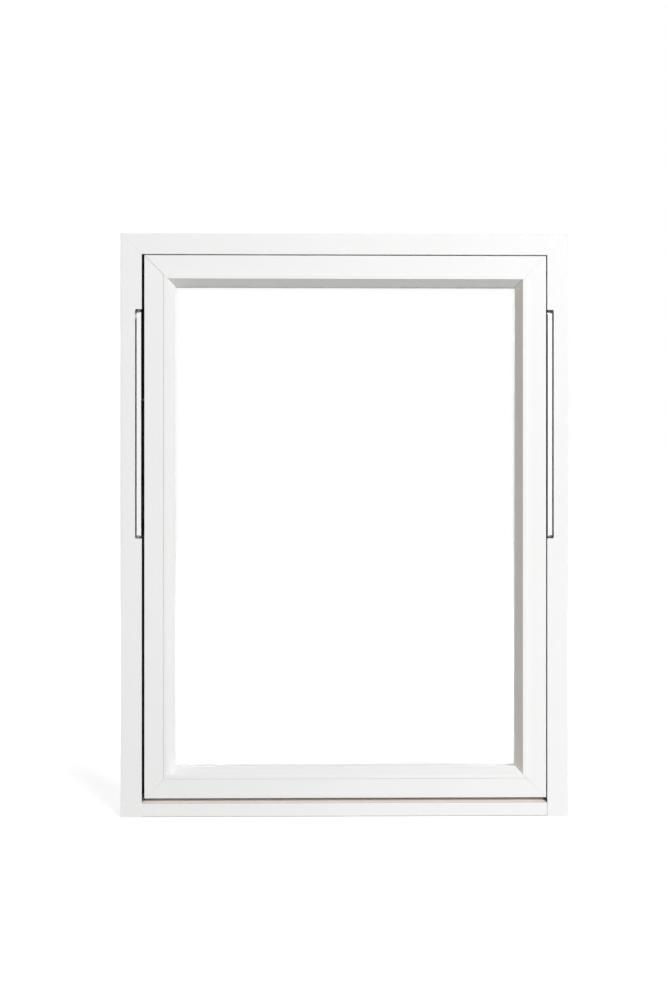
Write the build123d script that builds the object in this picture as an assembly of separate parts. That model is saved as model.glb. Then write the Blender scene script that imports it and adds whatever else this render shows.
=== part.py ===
"""Top-swing window: timber frame and sash clad in white aluminium, double glazed.

Millimetres. X runs to the right as seen from outside, Y from outside to inside, Z up.
The origin lies in the middle of the sill's underside, at half the depth of the frame.
A profile is drawn in (u, v): u from the outer edge of its ring inward, v from its face inward.
"""
import os

from build123d import *

# Frame
frame_width = 988
frame_height = 1288
frame_depth = 115
frame_face = 45.7
frame_rebate_wall = 33
frame_stop_width = 60
frame_stop_depth = 37
jamb_foot = 0.8

# Aluminium profiles
cladding_wall = 2
cladding_depth = 20
cladding_lip_depth = 6
cladding_web_place = 24
cladding_radius = 1
cladding_inner_radius = 0.3
frame_mitre = 0.1
sash_mitre = 0.2
sash_open_mitre = 0.6
ring_joint = 0.3

# Sill
sill_front_height = 29.4
sill_setback = 1
sill_slope = 0.22
sill_top_depth = 41
sill_timber_front = 26
sill_timber_step = 45
sill_web_height = 14
sill_drip_depth = 11
sill_nose_radius = 3.5
sill_end_joint = 0.2

# Sash
sash_gap_top = 2
sash_gap_side = 4.05
sash_shift = 1.75
sash_bottom = 41.5
sash_setback = 1.5
sash_face = 42.6
sash_timber_depth = 54
sash_stile_width = 62
glazing_rebate_wall = 48
timber_arris = 3

# Glazing
bead_joint = 0.15
bead_wall = 1.8
bead_band = 8.8
bead_bevel_width = 15.5
bead_bevel_depth = 19
bead_proud = 1.5
bead_band_fall = 0.15
bead_tip = 1.8
glass_edge = 52
pane_thickness = 4
pane_space = 16
outer_gasket_depth = 2
outer_gasket_width = 4.5
outer_gasket_setback = 0.5
inner_gasket_place = 51
inner_gasket_width = 8
edge_seal_width = 3
spacer_width = 7
block_length = 100
block_inset = 80

# Seal between frame and sash
seal_place = 36
seal_width = 21
seal_stem = 2
seal_stem_depth = 6
seal_slot_clearance = 0.1

# Lining groove and fixings of the frame
groove_width = 10
groove_depth = 10
groove_inset = 18
fixing_diameter = 14
fixing_end = 150
fixing_depth = 66

# Notch, cover strip and swing arm, both sides alike
notch_top = 167
notch_length = 506
notch_width = 14.4
notch_radius = 3
strip_top_clearance = 8
strip_bottom_clearance = 7
strip_outer_clearance = 3.6
strip_inner_setback = 1.2
strip_wall = 2
strip_web_place = 40
arm_thickness = 4
arm_front = 10
arm_back = 46
arm_overrun = 5
arm_end_radius = 4
arm_clearance = 0.5
pivot_diameter = 10
pivot_inset = 15
pivot_depth = 34
arm_reach = 285
track_height = 6
track_width = 20
track_wall = 1.5
track_overrun = 30
slider_drop = 33
slider_length = 45
slider_clearance = 0.2
sash_plate_thickness = 2
sash_plate_width = 18

# Handle
rose_width = 64
rose_height = 28
rose_thickness = 10
neck_diameter = 16
neck_length = 28
lever_length = 125
lever_height = 17
lever_thickness = 11
handle_radius = 4

# Derived levels
face_y = -frame_depth / 2
sash_face_y = face_y + sash_setback
sash_timber_front = cladding_depth - sash_setback
sash_inner = sash_timber_front + sash_timber_depth
frame_stop = frame_depth - frame_stop_depth
half_opening = frame_width / 2 - frame_face
bevel_end = bead_band_fall - bead_proud + bead_bevel_depth
pane_front = bevel_end + bead_tip + outer_gasket_depth
pane_back = pane_front + 2 * pane_thickness + pane_space
glazing_rebate = pane_back + outer_gasket_depth * 2
strip_top = frame_height - notch_top - strip_top_clearance
strip_bottom = frame_height - notch_top - notch_length + strip_bottom_clearance
arm_pivot_z = strip_bottom + pivot_inset
arm_outer = frame_rebate_wall + track_height + arm_clearance
handle_z = (frame_stop_width + sash_bottom + sash_stile_width) / 2

# Rings: left, right, bottom, top, face
frame_ring = (-frame_width / 2, frame_width / 2, 0, frame_height, face_y)
cladding_ring = (-frame_width / 2, frame_width / 2, jamb_foot, frame_height, face_y)
sash_ring = (
    -half_opening + sash_gap_side + sash_shift,
    half_opening - sash_gap_side + sash_shift,
    sash_bottom,
    frame_height - frame_face - sash_gap_top,
    sash_face_y,
)
sides = ("top", "bottom", "left", "right")


def outline(*corners):
    """Closed profile; a corner is (u, v) or (u, v, radius)."""
    points = [corner[:2] for corner in corners]
    radii = [corner[2] if len(corner) == 3 else 0 for corner in corners]
    return make_face(FilletPolyline(*points, radius=radii, close=True))


def channel(path, wall, radius):
    """Thin-walled profile whose visible line is the path; the wall lies on its inner side.

    A corner with a third number has that radius of its own.
    """
    points = [Vector(*point[:2]) for point in path]
    radii = [point[2] if len(point) == 3 else radius for point in path]
    headings = [(end - start).normalized() for start, end in zip(points, points[1:])]
    inward = [Vector(-heading.Y, heading.X) for heading in headings]
    inner = [points[0] + inward[0] * wall]
    for before, after, point in zip(inward, inward[1:], points[1:]):
        inner.append(point + (before + after) * (wall / (1 + before.dot(after))))
    inner.append(points[-1] + inward[-1] * wall)
    visible = [(point.X, point.Y, corner) for point, corner in zip(points, radii)][1:-1]
    hidden = [(point.X, point.Y) for point in reversed(inner)]
    return outline(path[0], *visible, path[-1], *hidden)


def box_profile(u_start, u_end, v_start, v_end):
    """Plain rectangle of a profile."""
    return outline((u_start, v_start), (u_end, v_start), (u_end, v_end), (u_start, v_end))


def side_plane(ring, side):
    """Plane at the start of one side of a ring, and the side's length."""
    left, right, bottom, top, face = ring
    if side == "left":
        return Plane((left, face, bottom), x_dir=(1, 0, 0), z_dir=(0, 0, 1)), top - bottom
    if side == "right":
        return Plane((right, face, top), x_dir=(-1, 0, 0), z_dir=(0, 0, -1)), top - bottom
    if side == "top":
        return Plane((left, face, top), x_dir=(0, 0, -1), z_dir=(1, 0, 0)), right - left
    return Plane((right, face, bottom), x_dir=(0, 0, 1), z_dir=(-1, 0, 0)), right - left


def bar(profile, ring, side):
    """Profile run along a whole side, ends square."""
    plane, length = side_plane(ring, side)
    return extrude(plane * profile, amount=length, dir=plane.z_dir)


def mitred(profile, ring, side, start_joint, end_joint):
    """Profile run along a side with 45 degree ends, half the joint open at each.

    A joint of None leaves that end square.
    """
    plane, length = side_plane(ring, side)
    solid = bar(profile, ring, side)
    ends = [
        (start_joint, plane.origin, plane.z_dir - plane.x_dir),
        (end_joint, plane.origin + plane.z_dir * length, -plane.z_dir - plane.x_dir),
    ]
    for joint, corner, normal in ends:
        if joint is not None:
            keep_side = normal.normalized()
            cut = Plane(corner + keep_side * (joint / 2), z_dir=keep_side)
            solid = split(solid, cut, keep=Keep.TOP)
    return solid


def group(solids):
    """Several solids of one node."""
    return Compound(children=[Solid(piece.solid().wrapped) for piece in solids])


nodes = {}

# Timber frame: the jambs run through, head and sill are coped between them
frame_corners = [
    (0, cladding_depth),
    (frame_rebate_wall, cladding_depth),
    (frame_rebate_wall, frame_stop),
    (frame_stop_width, frame_stop),
    (frame_stop_width, frame_depth),
    (0, frame_depth),
]
frame_envelope = outline(*frame_corners)
frame_profile = outline(*frame_corners[:4], (*frame_corners[4], timber_arris), frame_corners[5])
sill_timber_profile = outline(
    (0, cladding_depth),
    (sill_timber_front, cladding_depth),
    (sill_timber_front, sill_timber_step),
    (frame_rebate_wall, sill_timber_step),
    (frame_rebate_wall, frame_stop),
    (frame_stop_width, frame_stop),
    (frame_stop_width, frame_depth, timber_arris),
    (0, frame_depth),
)
stem_start = seal_place + (seal_width - seal_stem) / 2
slot_profile = box_profile(
    stem_start - seal_slot_clearance,
    stem_start + seal_stem + seal_slot_clearance,
    frame_stop - 1,
    frame_stop + seal_stem_depth + seal_slot_clearance,
)
seal_slots = [mitred(slot_profile, frame_ring, side, 0, 0) for side in sides]
groove_profile = box_profile(
    -1, groove_depth, frame_depth - groove_inset - groove_width, frame_depth - groove_inset
)
lining_grooves = [bar(groove_profile, frame_ring, side) for side in ("top", "left", "right")]
fixing_run = frame_height - 2 * fixing_end
fixing_heights = [fixing_end + fixing_run * step / 3 for step in range(4)]
fixing_holes = [
    Location((0, face_y + fixing_depth, height), (0, 90, 0))
    * Cylinder(fixing_diameter / 2, frame_width + 2)
    for height in fixing_heights
]
jamb_envelopes = [bar(frame_envelope, frame_ring, side) for side in ("left", "right")]
for side in ("left", "right"):
    jamb = bar(frame_profile, frame_ring, side)
    nodes["frame_jamb_" + side] = jamb - seal_slots - lining_grooves - fixing_holes
head = bar(frame_profile, frame_ring, "top")
nodes["frame_head"] = head - jamb_envelopes - seal_slots - lining_grooves
nodes["frame_sill"] = bar(sill_timber_profile, frame_ring, "bottom") - jamb_envelopes - seal_slots

# Aluminium on the frame: head and jambs mitred at the top, jambs notched for the swing arms
frame_channel = channel(
    [(0, cladding_depth), (0, 0), (frame_face, 0), (frame_face, cladding_lip_depth)],
    cladding_wall,
    cladding_radius,
)
frame_channel += box_profile(
    cladding_web_place, cladding_web_place + cladding_wall, cladding_wall / 2, cladding_depth
)
notch_z = frame_height - notch_top - notch_length / 2
notch_plane = Plane((0, face_y - 1, notch_z), x_dir=(1, 0, 0), z_dir=(0, -1, 0))
notch_outline = RectangleRounded(2 * (half_opening + notch_width), notch_length, notch_radius)
notch = extrude(notch_plane * notch_outline, amount=cladding_lip_depth + 2, dir=(0, 1, 0))
nodes["frame_cladding_head"] = mitred(frame_channel, cladding_ring, "top", frame_mitre, frame_mitre)
left_cladding = mitred(frame_channel, cladding_ring, "left", None, frame_mitre)
right_cladding = mitred(frame_channel, cladding_ring, "right", frame_mitre, None)
nodes["frame_cladding_left"] = left_cladding - notch
nodes["frame_cladding_right"] = right_cladding - notch

# Aluminium sill between the jambs, its top falling outward
sill_back = sill_setback + sill_top_depth
sill_channel = channel(
    [
        (0, sill_setback + sill_drip_depth),
        (0, sill_setback, sill_nose_radius),
        (sill_front_height, sill_setback),
        (sill_front_height + sill_slope * sill_top_depth, sill_back),
        (sill_timber_front, sill_back),
    ],
    cladding_wall,
    cladding_radius,
)
sill_channel += box_profile(
    sill_web_height,
    sill_web_height + cladding_wall,
    sill_setback + cladding_wall / 2,
    cladding_depth,
)
sill_ring = (-half_opening + sill_end_joint, half_opening - sill_end_joint, 0, frame_height, face_y)
nodes["sill_profile"] = bar(sill_channel, sill_ring, "bottom")

# Seal on the stop of the frame, its stem in the slot
seal_profile = box_profile(seal_place, seal_place + seal_width, sash_setback + sash_inner, frame_stop)
stem_end = frame_stop + seal_stem_depth
seal_profile += box_profile(stem_start, stem_start + seal_stem, frame_stop - 1, stem_end)
nodes["weather_seal"] = group(
    [mitred(seal_profile, frame_ring, side, ring_joint, ring_joint) for side in sides]
)

# Timber sash: the stiles run through, the rails are coped between them
sash_corners = [
    (0, sash_timber_front),
    (glazing_rebate_wall, sash_timber_front),
    (glazing_rebate_wall, glazing_rebate),
    (sash_stile_width, glazing_rebate),
    (sash_stile_width, sash_inner),
    (0, sash_inner),
]
sash_envelope = outline(*sash_corners)
sash_profile = outline(*sash_corners[:4], (*sash_corners[4], timber_arris), sash_corners[5])
stile_envelopes = [bar(sash_envelope, sash_ring, side) for side in ("left", "right")]
for side in ("left", "right"):
    nodes["sash_stile_" + side] = bar(sash_profile, sash_ring, side)
for side in ("top", "bottom"):
    nodes["sash_rail_" + side] = bar(sash_profile, sash_ring, side) - stile_envelopes

# Aluminium on the sash and the glazing beads beside it
sash_channel = channel(
    [
        (0, sash_timber_front),
        (0, 0),
        (sash_face, 0, cladding_inner_radius),
        (sash_face, sash_timber_front),
    ],
    cladding_wall,
    cladding_radius,
)
bead_start = sash_face + bead_joint
bevel_start = bead_start + bead_band
bead_edge = bevel_start + bead_bevel_width
bead_channel = channel(
    [
        (bead_start, sash_timber_front),
        (bead_start, -bead_proud),
        (bevel_start, bead_band_fall - bead_proud),
        (bead_edge, bevel_end),
        (bead_edge, bevel_end + bead_tip),
    ],
    bead_wall,
    cladding_radius / 2,
)
# The mitre at the top left stands a little open, the others are tight
open_starts = {"top": sash_open_mitre}
open_ends = {"left": sash_open_mitre}
for side in sides:
    start_joint = open_starts.get(side, sash_mitre)
    end_joint = open_ends.get(side, sash_mitre)
    nodes["sash_cladding_" + side] = mitred(sash_channel, sash_ring, side, start_joint, end_joint)
    nodes["glazing_bead_" + side] = mitred(bead_channel, sash_ring, side, sash_mitre, sash_mitre)

# Double glazing unit with its gaskets and setting blocks
pane_width = sash_ring[1] - sash_ring[0] - 2 * glass_edge
pane_height = sash_ring[3] - sash_ring[2] - 2 * glass_edge
pane_x = (sash_ring[0] + sash_ring[1]) / 2
pane_z = (sash_ring[2] + sash_ring[3]) / 2
inner_pane_front = pane_front + pane_thickness + pane_space
for name, depth in (("outer_pane", pane_front), ("inner_pane", inner_pane_front)):
    pane_y = sash_face_y + depth + pane_thickness / 2
    nodes[name] = Pos(pane_x, pane_y, pane_z) * Box(pane_width, pane_thickness, pane_height)
space_front = pane_front + pane_thickness
spacer_start = glass_edge + edge_seal_width
gasket_end = bead_edge - outer_gasket_setback
ring_profiles = {
    "edge_seal": box_profile(glass_edge, spacer_start, space_front, inner_pane_front),
    "spacer_bars": box_profile(spacer_start, spacer_start + spacer_width, space_front, inner_pane_front),
    "outer_gasket": box_profile(
        gasket_end - outer_gasket_width, gasket_end, bevel_end + bead_tip, pane_front
    ),
    "inner_gasket": box_profile(
        inner_gasket_place, inner_gasket_place + inner_gasket_width, pane_back, glazing_rebate
    ),
}
for name, profile in ring_profiles.items():
    nodes[name] = group([mitred(profile, sash_ring, side, ring_joint, ring_joint) for side in sides])
block_height = glass_edge - glazing_rebate_wall
block_offset = pane_width / 2 - block_inset - block_length / 2
block_y = sash_face_y + (pane_front + pane_back) / 2
nodes["glazing_blocks"] = group(
    [
        Pos(pane_x + place, block_y, sash_bottom + glazing_rebate_wall + block_height / 2)
        * Box(block_length, pane_back - pane_front, block_height)
        for place in (-block_offset, block_offset)
    ]
)

# Swing arms in the space between jamb and stile, each with its cover strip, track and pivots
strip_outer = frame_face - notch_width + strip_outer_clearance
strip_inner = frame_face - strip_inner_setback
strip_profile = outline(
    (strip_outer, 0, cladding_radius / 2),
    (strip_inner, 0, cladding_radius / 2),
    (strip_inner, strip_wall),
    (strip_web_place + strip_wall, strip_wall),
    (strip_web_place + strip_wall, arm_front),
    (strip_web_place, arm_front),
    (strip_web_place, strip_wall),
    (strip_outer, strip_wall),
)
track_front = pivot_depth - track_width / 2
track_top = frame_rebate_wall + track_height
track_profile = box_profile(frame_rebate_wall, track_top, track_front, track_front + track_width)
track_profile -= box_profile(
    frame_rebate_wall + track_wall,
    track_top + 1,
    track_front + track_wall,
    track_front + track_width - track_wall,
)
slider_front = track_front + track_wall + slider_clearance
slider_profile = box_profile(
    frame_rebate_wall + track_wall,
    track_top,
    slider_front,
    2 * pivot_depth - slider_front,
)
slider_z = sash_ring[3] - slider_drop


def upright(profile, side, bottom, top):
    """Profile standing in one jamb between two heights."""
    return bar(profile, (*frame_ring[:2], bottom, top, face_y), side)


def across(side, u_start, u_end):
    """Middle of a stretch of the space between jamb and stile, along X."""
    outward = -1 if side == "left" else 1
    return outward * (frame_width / 2 - (u_start + u_end) / 2)


def stud(side, u_start, u_end, height):
    """Round stud across the space between jamb and stile."""
    place = Location((across(side, u_start, u_end), face_y + pivot_depth, height), (0, 90, 0))
    return place * Cylinder(pivot_diameter / 2, u_end - u_start)


def plate(side, u_start, u_end, v_start, v_end, bottom, top):
    """Flat steel plate beside jamb or stile, its ends rounded."""
    middle = (across(side, u_start, u_end), face_y + (v_start + v_end) / 2, (bottom + top) / 2)
    face = RectangleRounded(v_end - v_start, top - bottom, arm_end_radius)
    stand = Plane(middle, x_dir=(0, 1, 0), z_dir=(1, 0, 0))
    return extrude(stand * face, amount=(u_end - u_start) / 2, both=True)


stile_edges = {
    "left": sash_ring[0] + frame_width / 2,
    "right": frame_width / 2 - sash_ring[1],
}
for side, stile_edge in stile_edges.items():
    plate_edge = stile_edge - sash_plate_thickness
    nodes["cover_strip_" + side] = upright(strip_profile, side, strip_bottom, strip_top)
    nodes["hinge_arm_" + side] = plate(
        side,
        arm_outer,
        arm_outer + arm_thickness,
        arm_front,
        arm_back,
        strip_bottom - arm_overrun,
        strip_top + arm_overrun,
    )
    nodes["hinge_track_" + side] = upright(
        track_profile, side, arm_pivot_z - track_overrun, slider_z + track_overrun
    )
    block = upright(slider_profile, side, slider_z - slider_length / 2, slider_z + slider_length / 2)
    nodes["hinge_slider_" + side] = block + stud(side, track_top - 1, plate_edge, slider_z)
    nodes["sash_plate_" + side] = plate(
        side,
        plate_edge,
        stile_edge,
        pivot_depth - sash_plate_width / 2,
        pivot_depth + sash_plate_width / 2,
        arm_pivot_z + arm_reach - track_overrun,
        sash_ring[3] - sash_plate_width / 2,
    )
    nodes["pivot_studs_" + side] = group(
        [
            stud(side, frame_rebate_wall + track_wall, arm_outer, arm_pivot_z),
            stud(side, arm_outer + arm_thickness, plate_edge, arm_pivot_z + arm_reach),
        ]
    )

# Handle on the inside of the bottom rail
rose_y = sash_face_y + sash_inner
rose = Pos(pane_x, rose_y + rose_thickness / 2, handle_z) * Box(rose_width, rose_thickness, rose_height)
rose = fillet(rose.edges().filter_by(Axis.Y), handle_radius)
nodes["handle_rose"] = fillet(rose.faces().sort_by(Axis.Y)[-1].edges(), handle_radius / 2)
neck_y = rose_y + rose_thickness
neck_place = Location((pane_x, neck_y + neck_length / 2, handle_z), (90, 0, 0))
neck = neck_place * Cylinder(neck_diameter / 2, neck_length)
lever_x = pane_x + lever_length / 2 - lever_height / 2
lever_y = neck_y + neck_length + lever_thickness / 2 - 1
lever = Pos(lever_x, lever_y, handle_z) * Box(lever_length, lever_thickness, lever_height)
lever = fillet(lever.edges(), handle_radius)
nodes["handle_lever"] = neck + lever

os.makedirs("parts", exist_ok=True)
for name, shape in nodes.items():
    export_step(shape, "parts/" + name + ".step")
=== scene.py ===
import math

import bmesh
import bpy
from mathutils import Matrix, Vector


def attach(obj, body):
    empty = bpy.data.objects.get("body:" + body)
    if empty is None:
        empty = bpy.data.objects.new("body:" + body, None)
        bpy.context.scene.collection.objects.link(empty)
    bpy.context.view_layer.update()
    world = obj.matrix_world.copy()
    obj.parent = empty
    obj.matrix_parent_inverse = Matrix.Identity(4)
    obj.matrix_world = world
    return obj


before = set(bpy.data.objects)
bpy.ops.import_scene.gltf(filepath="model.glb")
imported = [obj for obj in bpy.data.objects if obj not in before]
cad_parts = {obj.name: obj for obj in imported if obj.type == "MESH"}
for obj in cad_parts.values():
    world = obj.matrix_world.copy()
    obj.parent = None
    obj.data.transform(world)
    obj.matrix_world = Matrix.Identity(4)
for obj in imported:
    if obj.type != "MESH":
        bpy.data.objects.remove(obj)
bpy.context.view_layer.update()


# Material helpers

noise_low, noise_high = 0.3, 0.7  # the part of a noise's range that a ramp spreads out
mix_first, mix_second, mix_result = 6, 7, 2  # a colour mix's sockets by place, since names repeat
painted_light_blend = 0.0022  # depth in metres over which the painted light on the slope comes in
mitre_line = 0.0008  # half the width of a dirt line, in metres along x
mitre_dirt = (0.4, 0.39, 0.37)


class Shade:
    """One node material: a Principled shader with helpers that add what drives it."""

    def __init__(self, name, colour, roughness, metallic=0.0):
        self.material = bpy.data.materials.new(name)
        self.material.use_nodes = True
        self.nodes = self.material.node_tree.nodes
        self.links = self.material.node_tree.links
        self.shader = self.nodes["Principled BSDF"]
        self.output = self.nodes["Material Output"]
        self.shader.inputs["Base Color"].default_value = (*colour, 1.0)
        self.shader.inputs["Roughness"].default_value = roughness
        self.shader.inputs["Metallic"].default_value = metallic
        self.place = self.nodes.new("ShaderNodeTexCoord").outputs["Object"]

    def stretched(self, scale):
        """Object coordinates scaled apart on each axis, for grain that runs one way."""
        mapping = self.nodes.new("ShaderNodeMapping")
        mapping.inputs["Scale"].default_value = scale
        self.links.new(self.place, mapping.inputs["Vector"])
        return mapping.outputs["Vector"]

    def noise(self, scale, detail=2.0, vector=None):
        """Soft noise from 0 to 1."""
        texture = self.nodes.new("ShaderNodeTexNoise")
        texture.inputs["Scale"].default_value = scale
        texture.inputs["Detail"].default_value = detail
        self.links.new(vector or self.place, texture.inputs["Vector"])
        return texture.outputs["Fac"]

    def cells(self, scale):
        """Patches with a tone each."""
        texture = self.nodes.new("ShaderNodeTexVoronoi")
        texture.inputs["Scale"].default_value = scale
        self.links.new(self.place, texture.inputs["Vector"])
        return texture.outputs["Color"]

    def colour_between(self, factor, dark, light):
        """Base colour that runs from dark to light with the factor."""
        ramp = self.nodes.new("ShaderNodeValToRGB")
        ramp.color_ramp.elements[0].position = noise_low
        ramp.color_ramp.elements[0].color = (*dark, 1.0)
        ramp.color_ramp.elements[1].position = noise_high
        ramp.color_ramp.elements[1].color = (*light, 1.0)
        self.links.new(factor, ramp.inputs["Fac"])
        self.links.new(ramp.outputs["Color"], self.shader.inputs["Base Color"])

    def roughness_between(self, factor, low, high):
        """Roughness that runs from low to high with the factor."""
        reach = self.nodes.new("ShaderNodeMapRange")
        reach.inputs["From Min"].default_value = noise_low
        reach.inputs["From Max"].default_value = noise_high
        reach.inputs["To Min"].default_value = low
        reach.inputs["To Max"].default_value = high
        self.links.new(factor, reach.inputs["Value"])
        self.links.new(reach.outputs["Result"], self.shader.inputs["Roughness"])

    def bump(self, *heights):
        """Bumps one on another; each is (height, strength, depth in metres)."""
        normal = None
        for height, strength, depth in heights:
            node = self.nodes.new("ShaderNodeBump")
            node.inputs["Strength"].default_value = strength
            node.inputs["Distance"].default_value = depth
            self.links.new(height, node.inputs["Height"])
            if normal is not None:
                self.links.new(normal, node.inputs["Normal"])
            normal = node.outputs["Normal"]
        self.links.new(normal, self.shader.inputs["Normal"])


def scaled(colour, factor):
    return tuple(channel * factor for channel in colour)


def powder_coat(name, colour, along):
    """White powder coat on an extrusion: orange peel, faint die lines, a slightly uneven gloss."""
    shade = Shade(name, colour, 0.48)
    shade.colour_between(shade.noise(2.6, 3.0), scaled(colour, 0.985), colour)
    shade.roughness_between(shade.noise(60.0, 3.0), 0.44, 0.54)
    die_lines = shade.noise(1.0, 1.0, shade.stretched(along))
    shade.bump((shade.noise(900.0, 2.0), 0.12, 0.00015), (die_lines, 0.06, 0.0001))
    return shade.material


def math_node(tree, operation, *values):
    """Result of a Math node in a node tree; each value is a socket or a number."""
    node = tree.nodes.new("ShaderNodeMath")
    node.operation = operation
    for socket, value in zip(node.inputs, values):
        if isinstance(value, float):
            socket.default_value = value
        else:
            tree.links.new(value, socket)
    return node.outputs["Value"]


def toned(tree, base, factor, tone):
    """The base colour, turned to the tone where the factor is 1."""
    mix = tree.nodes.new("ShaderNodeMix")
    mix.data_type = "RGBA"
    tree.links.new(factor, mix.inputs["Factor"])
    tree.links.new(base, mix.inputs[mix_first])
    mix.inputs[mix_second].default_value = (*tone, 1.0)
    return mix.outputs[mix_result]


def coat_with_painted_slope_light(name, colour, slope, start, along, mitre=None):
    """The powder coat again, with painted light on the slope that starts at this depth: a lighter,
    warmer tone that stands in for light falling and bouncing there.

    A mitre, given as x less z along it in metres, gets a thin line of dirt on the slope.
    """
    material = powder_coat(name, colour, along)
    tree = material.node_tree
    split = tree.nodes.new("ShaderNodeSeparateXYZ")
    tree.links.new(tree.nodes["Texture Coordinate"].outputs["Object"], split.inputs["Vector"])
    behind = tree.nodes.new("ShaderNodeMapRange")
    behind.inputs["From Min"].default_value = start
    behind.inputs["From Max"].default_value = start + painted_light_blend
    tree.links.new(split.outputs["Y"], behind.inputs["Value"])
    on_slope = behind.outputs["Result"]
    # painted light: the slope tone stands in for light and warm bounce on the slope behind the start
    # depth
    surface = toned(tree, tree.nodes["Color Ramp"].outputs["Color"], on_slope, slope)
    if mitre is not None:
        across = math_node(tree, "SUBTRACT", split.outputs["X"], split.outputs["Z"])
        line = math_node(tree, "COMPARE", across, mitre, mitre_line)
        surface = toned(tree, surface, math_node(tree, "MULTIPLY", line, on_slope), mitre_dirt)
    tree.links.new(surface, tree.nodes["Principled BSDF"].inputs["Base Color"])
    return material


def painted_timber(name, colour, along):
    """Sprayed paint on timber: the grain shows faintly through it along the member."""
    shade = Shade(name, colour, 0.45)
    grain = shade.noise(1.0, 4.0, shade.stretched(along))
    shade.colour_between(grain, scaled(colour, 0.965), colour)
    shade.roughness_between(shade.noise(35.0, 3.0), 0.4, 0.55)
    shade.bump((grain, 0.22, 0.0004), (shade.noise(600.0, 2.0), 0.1, 0.0002))
    return shade.material


def rubber(name, colour):
    """Extruded rubber, matt and slightly mottled."""
    shade = Shade(name, colour, 0.7)
    shade.colour_between(shade.noise(90.0, 3.0), scaled(colour, 0.8), scaled(colour, 1.2))
    shade.roughness_between(shade.noise(200.0, 2.0), 0.6, 0.8)
    shade.bump((shade.noise(1500.0, 2.0), 0.2, 0.0002))
    return shade.material


def zinc(name, colour):
    """Zinc-plated steel with faint spangle."""
    shade = Shade(name, colour, 0.35, 1.0)
    shade.colour_between(shade.cells(140.0), scaled(colour, 0.88), colour)
    shade.roughness_between(shade.noise(120.0, 3.0), 0.26, 0.44)
    shade.bump((shade.noise(800.0, 3.0), 0.1, 0.0002))
    return shade.material


def satin_metal(name, colour, along):
    """Anodised aluminium with a fine brushed grain."""
    shade = Shade(name, colour, 0.32, 1.0)
    brushed = shade.noise(1.0, 2.0, shade.stretched(along))
    shade.colour_between(brushed, scaled(colour, 0.93), colour)
    shade.roughness_between(brushed, 0.26, 0.38)
    shade.bump((brushed, 0.08, 0.0001))
    return shade.material


def plastic(name, colour):
    """Moulded plastic with a fine grain."""
    shade = Shade(name, colour, 0.55)
    shade.colour_between(shade.noise(70.0, 3.0), scaled(colour, 0.9), scaled(colour, 1.1))
    shade.roughness_between(shade.noise(150.0, 2.0), 0.45, 0.62)
    shade.bump((shade.noise(1200.0, 2.0), 0.18, 0.0002))
    return shade.material


def clear_glass(name):
    """Float glass: almost no tint, a trace of waviness; lamps shine through it."""
    shade = Shade(name, (0.998, 1.0, 0.999), 0.0)
    shade.shader.inputs["Transmission Weight"].default_value = 1.0
    shade.shader.inputs["IOR"].default_value = 1.5
    shade.bump((shade.noise(3.0, 1.0), 0.02, 0.0005))
    path = shade.nodes.new("ShaderNodeLightPath")
    clear = shade.nodes.new("ShaderNodeBsdfTransparent")
    surface = shade.shader.outputs["BSDF"]
    for rays in ("Is Shadow Ray", "Is Diffuse Ray"):
        mix = shade.nodes.new("ShaderNodeMixShader")
        shade.links.new(path.outputs[rays], mix.inputs["Fac"])
        shade.links.new(surface, mix.inputs[1])
        shade.links.new(clear.outputs["BSDF"], mix.inputs[2])
        surface = mix.outputs["Shader"]
    shade.links.new(surface, shade.output.inputs["Surface"])
    return shade.material


# Materials, those with grain in one copy for each direction

coat_white = (0.865, 0.865, 0.86)
timber_white = (0.84, 0.84, 0.825)
strip_white = (0.93, 0.93, 0.92)
# Sill slope: painted warm bounce light, lighter and warmer than the coat on its sloping top.
sill_painted_bounce_light = (0.88, 0.81, 0.75)
# Top bead slope: painted light, lighter than the coat, on a bevel that faces down into shade.
bead_top_painted_light = (0.93, 0.925, 0.905)
# Right bead slope: painted warm bounce light on a bevel that faces away from the key lamp.
bead_right_painted_light = (0.89, 0.852, 0.79)
sill_slope_start = -0.0562
bead_slope_start = -0.0572
sash_right, sash_top = 0.446, 1.2403
bead_mitre = sash_right - sash_top
grain_x = (9.0, 420.0, 420.0)
grain_z = (420.0, 420.0, 9.0)
timber_grain_x = (6.0, 160.0, 160.0)
timber_grain_z = (160.0, 160.0, 6.0)
coat_x = powder_coat("coat_x", coat_white, grain_x)
coat_z = powder_coat("coat_z", coat_white, grain_z)
coat_strip = powder_coat("coat_strip", strip_white, grain_z)
coat_sill_painted_light = coat_with_painted_slope_light("coat_sill_painted_light", coat_white, sill_painted_bounce_light, sill_slope_start, grain_x)
coat_bead_top_painted_light = coat_with_painted_slope_light(
    "coat_bead_top_painted_light", coat_white, bead_top_painted_light, bead_slope_start, grain_x, bead_mitre
)
coat_bead_right_painted_light = coat_with_painted_slope_light(
    "coat_bead_right_painted_light", coat_white, bead_right_painted_light, bead_slope_start, grain_z, bead_mitre
)
timber_x = painted_timber("timber_x", timber_white, timber_grain_x)
timber_z = painted_timber("timber_z", timber_white, timber_grain_z)
glass = clear_glass("glass")
black_rubber = rubber("black_rubber", (0.028, 0.028, 0.03))
grey_rubber = rubber("grey_rubber", (0.7, 0.7, 0.69))
steel = zinc("zinc_steel", (0.64, 0.65, 0.66))
spacer = satin_metal("spacer_metal", (0.6, 0.61, 0.62), grain_x)
dark_plastic = plastic("dark_plastic", (0.075, 0.075, 0.08))
handle_metal = satin_metal("handle_metal", (0.5, 0.5, 0.51), grain_x)
screw_steel = zinc("screw_steel", (0.42, 0.42, 0.43))
# Pivot studs near-black: painted shade, so they stay as dark as the shaded gap they sit in.
stud_steel_painted_shade = zinc("stud_steel_painted_shade", (0.05, 0.05, 0.055))

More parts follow.
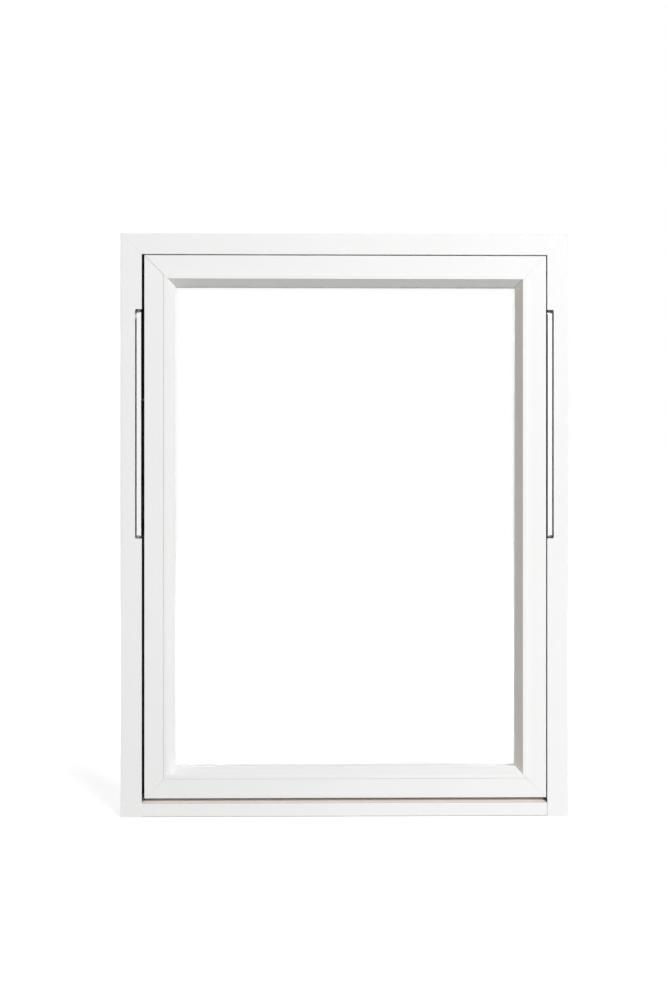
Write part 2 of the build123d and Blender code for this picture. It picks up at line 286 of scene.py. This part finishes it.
node_materials = {
    coat_x: "frame_cladding_head sash_cladding_top sash_cladding_bottom glazing_bead_bottom",
    coat_z: (
        "frame_cladding_left frame_cladding_right sash_cladding_left sash_cladding_right "
        "glazing_bead_left"
    ),
    coat_sill_painted_light: "sill_profile",
    coat_bead_top_painted_light: "glazing_bead_top",
    coat_bead_right_painted_light: "glazing_bead_right",
    coat_strip: "cover_strip_left cover_strip_right",
    timber_x: "frame_head frame_sill sash_rail_top sash_rail_bottom",
    timber_z: "frame_jamb_left frame_jamb_right sash_stile_left sash_stile_right",
    glass: "outer_pane inner_pane",
    black_rubber: "weather_seal inner_gasket edge_seal",
    grey_rubber: "outer_gasket",
    steel: (
        "hinge_track_left hinge_track_right hinge_arm_left hinge_arm_right "
        "sash_plate_left sash_plate_right"
    ),
    stud_steel_painted_shade: "pivot_studs_left pivot_studs_right",
    spacer: "spacer_bars",
    dark_plastic: "hinge_slider_left hinge_slider_right glazing_blocks",
    handle_metal: "handle_rose handle_lever",
}
for material, names in node_materials.items():
    for name in names.split():
        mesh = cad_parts[name].data
        mesh.materials.clear()
        mesh.materials.append(material)


# Screws of the handle, in millimetres until they are placed

screw_steps = 24
screw_head = ((3.5, 0.0), (3.4, 0.45), (2.9, 0.85), (2.2, 1.05))  # radius and height of each ring
recess_reach = 1.7
recess_half_width = 0.42
recess_taper = 0.8
recess_floor = 0.2
millimetre = 0.001
rose_middle = 0.00175
rose_screw_offset = 0.023
rose_screw_foot = 0.0262
rose_screw_height = 0.08175


def rose_screw(name, place):
    """Raised screw head with a cross recess, facing the room."""
    turns = [math.tau * step / screw_steps for step in range(screw_steps)]
    build = bmesh.new()

    def loop(points, height):
        return [build.verts.new((x, y, height)) for x, y in points]

    def wall(lower, upper, smooth):
        for step in range(len(lower)):
            after = (step + 1) % len(lower)
            face = build.faces.new((lower[step], lower[after], upper[after], upper[step]))
            face.smooth = smooth

    rings = [
        loop([(radius * math.cos(turn), radius * math.sin(turn)) for turn in turns], height)
        for radius, height in screw_head
    ]
    for lower, upper in zip(rings, rings[1:]):
        wall(lower, upper, True)
    build.faces.new(reversed(rings[0]))
    half = recess_half_width
    arm = [(recess_reach, -half), (recess_reach, half), (half, half)]
    cross = [
        (x * math.cos(turn) - y * math.sin(turn), x * math.sin(turn) + y * math.cos(turn))
        for turn in (0.0, math.pi / 2, math.pi, 1.5 * math.pi)
        for x, y in arm
    ]
    rim = loop(cross, screw_head[-1][1])
    pit = loop([(recess_taper * x, recess_taper * y) for x, y in cross], recess_floor)
    wall(rim, pit, False)
    build.faces.new(pit)
    rim_edges = [edge for edge in build.edges if len(edge.link_faces) == 1]
    bmesh.ops.triangle_fill(build, edges=rim_edges, use_beauty=True)
    bmesh.ops.recalc_face_normals(build, faces=build.faces)
    to_room = Matrix.Rotation(-math.pi / 2, 4, "X")
    build.transform(Matrix.Translation(place) @ to_room @ Matrix.Scale(millimetre, 4))
    mesh = bpy.data.meshes.new(name)
    build.to_mesh(mesh)
    build.free()
    mesh.materials.append(screw_steel)
    screw = bpy.data.objects.new(name, mesh)
    bpy.context.scene.collection.objects.link(screw)
    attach(screw, "root")


for name, offset in (("rose_screw_left", -rose_screw_offset), ("rose_screw_right", rose_screw_offset)):
    rose_screw(name, (rose_middle + offset, rose_screw_foot, rose_screw_height))


# Floor, background and light

floor_size = 40.0
floor_tone = 0.4
near_glow = 0.78  # low enough for the shadow to show
near, far = 0.8, 2.6  # metres from the middle between which the glow rises to plain white
ambient = 0.03


def background_rays(tree):
    """1 for rays that show the background: from the camera, off gloss and through glass.

    A ray that has lit a matt surface on its way counts as light, not as a view of the background.
    """
    path = tree.nodes.new("ShaderNodeLightPath").outputs
    seen = math_node(tree, "MAXIMUM", path["Is Camera Ray"], path["Is Glossy Ray"])
    seen = math_node(tree, "MAXIMUM", seen, path["Is Transmission Ray"])
    unlit = math_node(tree, "LESS_THAN", path["Diffuse Depth"], 0.5)
    return math_node(tree, "MULTIPLY", seen, unlit)


def make_floor():
    """Pale floor that keeps the shadow near the object and runs out to plain white."""
    mesh = bpy.data.meshes.new("floor")
    half = floor_size / 2
    corners = [(-half, -half, 0), (half, -half, 0), (half, half, 0), (-half, half, 0)]
    mesh.from_pydata(corners, [], [(0, 1, 2, 3)])
    floor = bpy.data.objects.new("floor", mesh)
    bpy.context.scene.collection.objects.link(floor)
    colour = (floor_tone,) * 3
    shade = Shade("floor", colour, 0.9)
    shade.colour_between(shade.noise(0.8, 2.0), scaled(colour, 0.99), colour)
    shade.shader.inputs["Specular IOR Level"].default_value = 0.0
    shade.shader.inputs["Emission Color"].default_value = (1.0, 1.0, 1.0, 1.0)
    away = shade.nodes.new("ShaderNodeVectorMath")
    away.operation = "LENGTH"
    shade.links.new(shade.place, away.inputs[0])
    glow = shade.nodes.new("ShaderNodeMapRange")
    glow.inputs["From Min"].default_value = near
    glow.inputs["From Max"].default_value = far
    glow.inputs["To Min"].default_value = near_glow
    glow.inputs["To Max"].default_value = 1.0
    shade.links.new(away.outputs["Value"], glow.inputs["Value"])
    tree = shade.material.node_tree
    strength = math_node(tree, "MULTIPLY", glow.outputs["Result"], background_rays(tree))
    shade.links.new(strength, shade.shader.inputs["Emission Strength"])
    mesh.materials.append(shade.material)


def make_world():
    """White where it is seen, and a weaker even light on the object."""
    world = bpy.data.worlds.new("studio")
    bpy.context.scene.world = world
    world.use_nodes = True
    nodes, links = world.node_tree.nodes, world.node_tree.links
    light = nodes["Background"]
    light.inputs["Color"].default_value = (1.0, 1.0, 1.0, 1.0)
    light.inputs["Strength"].default_value = ambient
    seen = nodes.new("ShaderNodeBackground")
    seen.inputs["Color"].default_value = (1.0, 1.0, 1.0, 1.0)
    seen.inputs["Strength"].default_value = 1.0
    mix = nodes.new("ShaderNodeMixShader")
    links.new(background_rays(world.node_tree), mix.inputs["Fac"])
    links.new(light.outputs["Background"], mix.inputs[1])
    links.new(seen.outputs["Background"], mix.inputs[2])
    links.new(mix.outputs["Shader"], nodes["World Output"].inputs["Surface"])


def area_light(name, place, target, size, power, spread):
    """Square lamp that faces the target; power in watts, spread in degrees."""
    lamp = bpy.data.lights.new(name, "AREA")
    lamp.shape = "SQUARE"
    lamp.size = size
    lamp.energy = power
    lamp.spread = math.radians(spread)
    holder = bpy.data.objects.new(name, lamp)
    holder.location = place
    holder.rotation_euler = (Vector(target) - Vector(place)).to_track_quat("-Z", "Y").to_euler()
    bpy.context.scene.collection.objects.link(holder)


make_floor()
make_world()
area_light("key", (5.2, -11.5, 6.6), (0.8, 0.0, -3.0), 4.0, 1365.0, 150.0)
area_light("fill", (0.9, -1.6, 0.1), (0.15, 0.0, -0.1), 0.4, 0.35, 70.0)
area_light("back_left", (-3.0, 5.2, 2.2), (0.0, 0.0, 0.6), 1.6, 118.0, 140.0)
area_light("back_right", (2.6, 5.4, 2.2), (0.0, 0.0, 0.6), 1.6, 82.0, 140.0)


# Camera, level and turned a little to the right

camera_data = bpy.data.cameras.new("camera")
camera_data.sensor_width = 36.0
camera_data.lens = 48.9
camera = bpy.data.objects.new("camera", camera_data)
camera.location = (-0.070, -3.0575, 0.7)
camera.rotation_euler = (math.radians(90.0), 0.0, math.radians(-0.858))
bpy.context.scene.collection.objects.link(camera)
bpy.context.scene.camera = camera
bpy.context.scene.view_settings.view_transform = "Standard"
